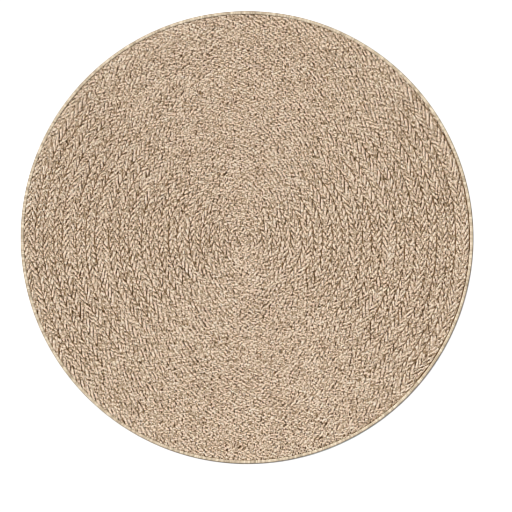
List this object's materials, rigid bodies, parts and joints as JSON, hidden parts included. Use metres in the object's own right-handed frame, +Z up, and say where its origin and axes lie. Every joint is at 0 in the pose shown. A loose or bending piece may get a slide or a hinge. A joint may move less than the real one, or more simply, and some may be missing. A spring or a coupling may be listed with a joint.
{
  "type": "round outdoor rug",
  "caption": "Flat-woven round outdoor rug in tan and cream yarn. Raised rows copy a coiled plait, and an overlocked edge closes the cut rim.",
  "frame": {"origin": "middle of the underside, on the ground", "axes": "+Z up out of the woven face, +Y towards the top of the picture, and the floated yarns run along X"},
  "size_m": [1.6, 1.6, 0.0072],
  "materials": {
    "woven_yarn": "matt flat-woven yarn in tan, cream and brown, a little glossy on its long floats",
    "overlock_yarn": "matt wrapped yarn in pale straw"
  },
  "bodies": {
    "root": {"woven_cloth": "woven_yarn", "edge_overlock": "overlock_yarn"}
  },
  "joints": []
}
